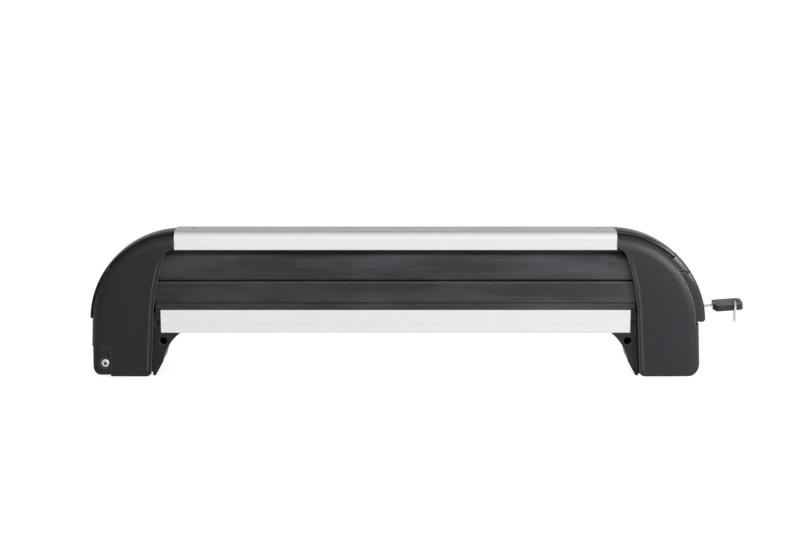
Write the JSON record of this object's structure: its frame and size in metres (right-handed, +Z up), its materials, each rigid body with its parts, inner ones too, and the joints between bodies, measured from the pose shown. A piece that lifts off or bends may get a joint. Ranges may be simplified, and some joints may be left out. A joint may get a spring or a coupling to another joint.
{
  "type": "roof ski rack",
  "caption": "Clamping ski carrier for a roof bar: two padded aluminium rails between moulded end housings, hinged at one end, with a keyed release paddle at the other.",
  "frame": {"origin": "middle of the T-slot mouth on the underside of the lower rail", "axes": "+X along the rails towards the lock end, -Y to the front, +Z up"},
  "size_m": [0.8136, 0.0585, 0.1829],
  "materials": {
    "rail_aluminium": "satin clear anodised, fine extrusion lines",
    "pad_rubber": "matte black EPDM",
    "bracket_plastic": "satin moulded black",
    "housing_plastic": "fine spark-textured black",
    "gloss_black": "high gloss black",
    "nylon": "natural nylon",
    "key_plastic": "satin black moulding",
    "nickel": "nickel plated",
    "zinc_steel": "bright zinc plated steel"
  },
  "bodies": {
    "base": {"lower_rail": "rail_aluminium", "lower_pad": "pad_rubber", "hinge_bracket": "bracket_plastic", "latch_bracket": "bracket_plastic", "hinge_bracket_screws": "zinc_steel", "latch_bracket_screws": "zinc_steel", "hinge_bushes": "nylon", "catch_pin": "zinc_steel", "catch_pin_clips": "zinc_steel"},
    "arm": {"upper_rail": "rail_aluminium", "upper_pad": "pad_rubber", "hinge_housing": "housing_plastic", "latch_housing": "housing_plastic", "hinge_cover": "gloss_black", "latch_cover": "gloss_black", "hinge_cover_screws": "zinc_steel", "latch_cover_screws": "zinc_steel", "rail_screws": "zinc_steel", "rail_nuts": "zinc_steel", "hinge_bolt": "zinc_steel", "hinge_nut": "zinc_steel", "hinge_washers": "nylon", "paddle_pin": "zinc_steel", "paddle_pin_clips": "zinc_steel", "paddle_spring": "zinc_steel"},
    "paddle": {"release_paddle": "gloss_black", "latch_hook": "zinc_steel", "hook_rivets": "zinc_steel", "lock_barrel": "nickel", "barrel_nut": "zinc_steel"},
    "lock_core": {"lock_plug": "nickel", "lock_cam": "zinc_steel", "cam_screw": "zinc_steel"},
    "key": {"key_blade": "nickel", "key_head": "key_plastic"},
    "ring": {"key_ring": "nickel"}
  },
  "joints": [
    {"name": "arm_hinge", "type": "hinge", "parent": "base", "child": "arm", "pos_m": [-0.361, 0, -0.0375], "axis": [0, -1, 0], "range_deg": [0, 85]},
    {"name": "paddle_hinge", "type": "hinge", "parent": "arm", "child": "paddle", "pos_m": [0.338, 0, 0.0885], "axis": [0, 1, 0], "range_deg": [0, 6.5], "stiffness_Nm_per_rad": 1.5, "springref_deg": -8.59, "deforming": ["paddle_spring"]},
    {"name": "lock_turn", "type": "hinge", "parent": "paddle", "child": "lock_core", "pos_m": [0.3836, 0, 0.0283], "axis": [0.9972, 0, 0.075], "range_deg": [0, 90]},
    {"name": "key_slide", "type": "slide", "parent": "lock_core", "child": "key", "axis": [0.9972, 0, 0.075], "range_m": [0, 0.03]},
    {"name": "ring_turn", "type": "hinge", "parent": "key", "child": "ring", "pos_m": [0.42251, -0.01123, 0.0242], "axis": [0.989, -0.1478, 0], "continuous": true}
  ]
}
